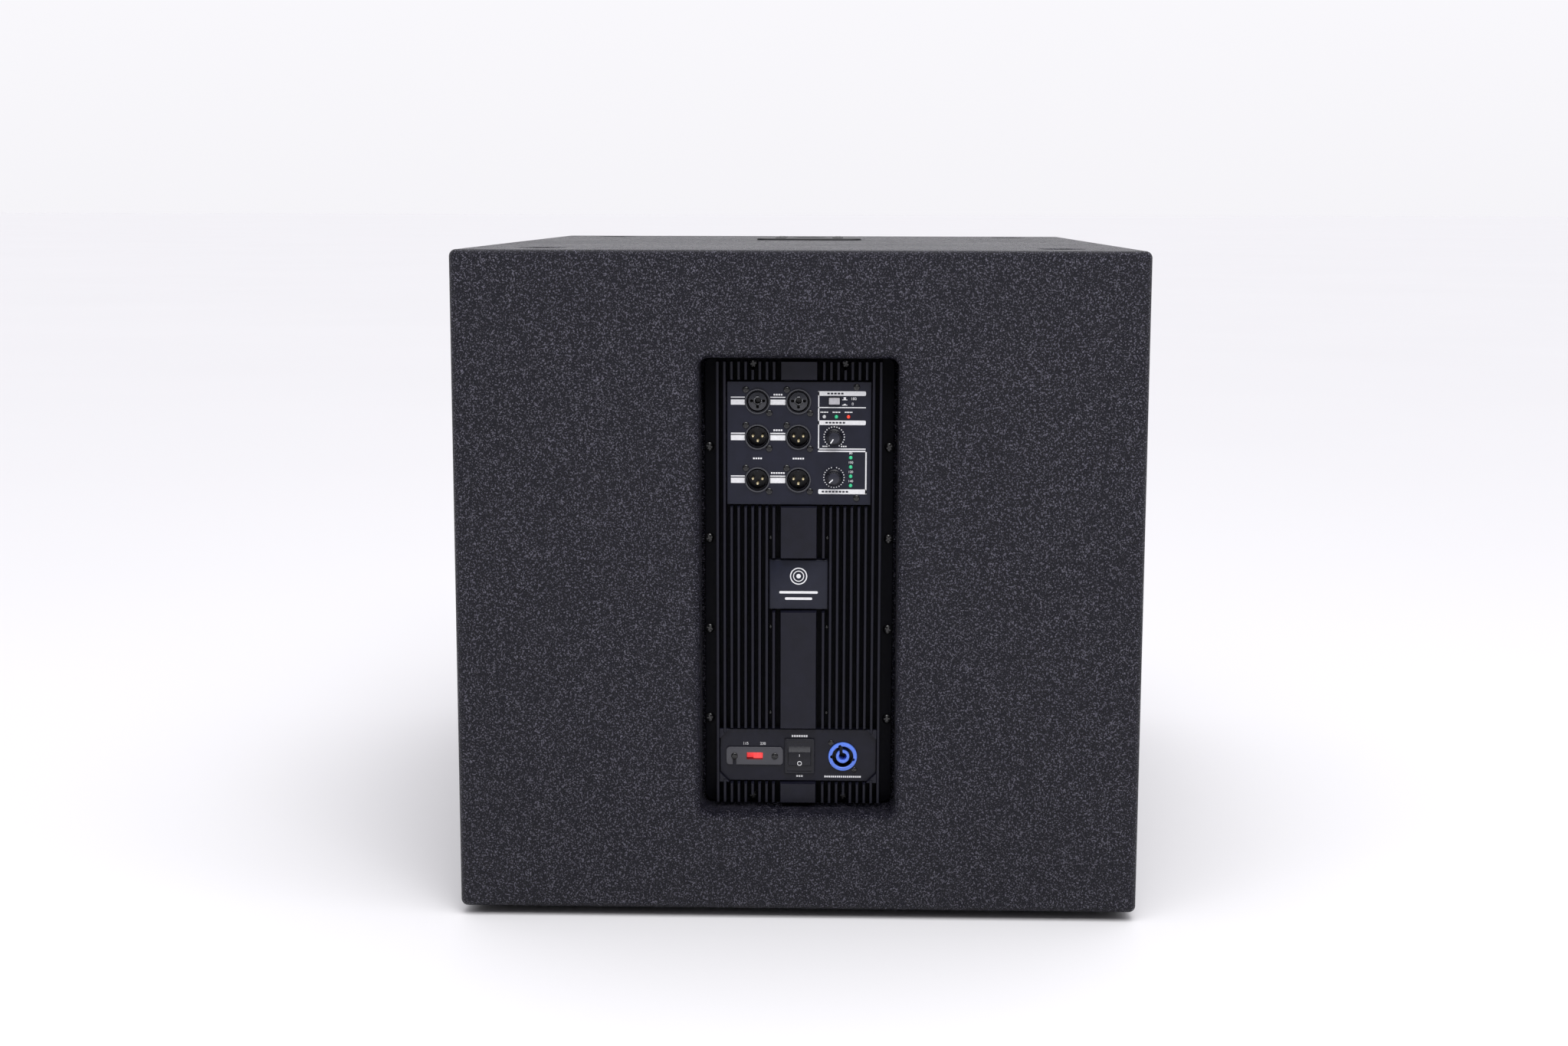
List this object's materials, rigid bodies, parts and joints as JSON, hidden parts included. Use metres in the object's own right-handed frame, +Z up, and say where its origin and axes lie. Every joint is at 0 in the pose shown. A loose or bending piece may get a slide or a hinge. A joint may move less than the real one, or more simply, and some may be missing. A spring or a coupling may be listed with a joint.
{
  "type": "powered subwoofer",
  "caption": "Box-shaped powered bass loudspeaker with a recessed, finned amplifier panel at the rear, carrying handles, a pole socket and a full front grille.",
  "frame": {"origin": "on the floor under the middle of the cabinet", "axes": "+Z up; the amplifier panel faces +Y and the grille faces -Y; +X is on the left for someone who stands behind the cabinet and looks at the amplifier panel"},
  "size_m": [0.6, 0.81, 0.5919],
  "materials": {
    "textured_coating": "matte black-grey granular coating on plywood",
    "bare_plywood": "matte bare birch plywood",
    "coated_steel": "satin black powder coat",
    "foam": "matte black open-cell foam",
    "rubber": "matte black rubber",
    "cast_aluminium": "satin black-grey casting",
    "plated_steel": "satin zinc plating",
    "ferrite": "matte sintered ferrite",
    "cone_paper": "matte pressed paper pulp",
    "spider_cloth": "matte resin-dipped cloth",
    "circuit_board": "satin solder mask",
    "copper": "satin enamelled copper wire",
    "black_plastic": "matte black moulding",
    "panel_paint": "satin dark grey paint",
    "light_plastic": "satin light grey moulding",
    "red_plastic": "satin red moulding",
    "blue_plastic": "satin blue moulding",
    "clear_plastic": "satin frosted translucent sheet",
    "white_lens": "gloss clear lens",
    "green_lens": "gloss green lens",
    "red_lens": "gloss red lens"
  },
  "bodies": {
    "cabinet": {"cabinet_left": "textured_coating", "cabinet_right": "textured_coating", "cabinet_top": "textured_coating", "cabinet_bottom": "textured_coating", "cabinet_rear": "textured_coating", "front_baffle": "textured_coating", "amp_mount_frame": "textured_coating", "port_shelf": "bare_plywood", "port_divider": "bare_plywood", "cross_brace": "bare_plywood", "handle_dish_left": "coated_steel", "handle_dish_right": "coated_steel", "handle_grip_left": "rubber", "handle_grip_right": "rubber", "foot_front_left": "rubber", "foot_front_right": "rubber", "foot_rear_left": "rubber", "foot_rear_right": "rubber", "front_grille": "coated_steel", "grille_foam": "foam", "pole_socket": "coated_steel", "woofer_gasket": "foam", "woofer_frame": "cast_aluminium", "front_plate": "plated_steel", "ring_magnet": "ferrite", "back_plate": "plated_steel", "surround": "rubber", "spider": "spider_cloth", "woofer_lead": "rubber", "heatsink": "cast_aluminium", "amp_gasket": "foam", "amp_housing": "plated_steel", "control_board": "circuit_board", "amp_board": "circuit_board", "power_board": "circuit_board", "transformer": "copper", "connector_plate": "panel_paint", "combo_jack_left": "black_plastic", "combo_jack_right": "black_plastic", "link_xlr_left": "black_plastic", "link_xlr_right": "black_plastic", "output_xlr_left": "black_plastic", "output_xlr_right": "black_plastic", "led_power": "white_lens", "led_signal": "green_lens", "led_limit": "red_lens", "mode_light_pipe": "green_lens", "badge_plate": "black_plastic", "selector_body": "black_plastic", "switch_body": "black_plastic", "mains_inlet": "blue_plastic"},
    "cone_assembly": {"woofer_cone": "cone_paper", "dust_cap": "cone_paper", "voice_coil": "copper"},
    "phase_button": {"phase_button": "light_plastic"},
    "master_knob": {"master_knob": "black_plastic"},
    "dsp_knob": {"dsp_knob": "black_plastic"},
    "power_rocker": {"power_rocker": "black_plastic"},
    "selector_slider": {"selector_slider": "red_plastic"},
    "selector_cover": {"selector_cover": "clear_plastic"}
  },
  "joints": [
    {"name": "cone_travel", "type": "slide", "parent": "cabinet", "child": "cone_assembly", "axis": [0, -1, 0], "range_m": [-0.01, 0.01], "stiffness_N_per_m": 9000, "deforming": ["surround", "spider"]},
    {"name": "phase_press", "type": "slide", "parent": "cabinet", "child": "phase_button", "axis": [0, -1, 0], "range_m": [0, 0.0025], "stiffness_N_per_m": 250},
    {"name": "master_turn", "type": "hinge", "parent": "cabinet", "child": "master_knob", "pos_m": [-0.0306, 0.38, 0.4278], "axis": [0, -1, 0], "range_deg": [0, 294]},
    {"name": "dsp_turn", "type": "hinge", "parent": "cabinet", "child": "dsp_knob", "pos_m": [-0.0306, 0.38, 0.3923], "axis": [0, -1, 0], "continuous": true},
    {"name": "rocker_tilt", "type": "hinge", "parent": "cabinet", "child": "power_rocker", "pos_m": [-0.0014, 0.3748, 0.142], "axis": [1, 0, 0], "range_deg": [0, 24]},
    {"name": "selector_slide", "type": "slide", "parent": "cabinet", "child": "selector_slider", "axis": [1, 0, 0], "range_m": [0, 0.0057]},
    {"name": "cover_swing", "type": "hinge", "parent": "cabinet", "child": "selector_cover", "pos_m": [0.0206, 0.3791, 0.142], "axis": [0, -1, 0], "range_deg": [0, 15]}
  ]
}
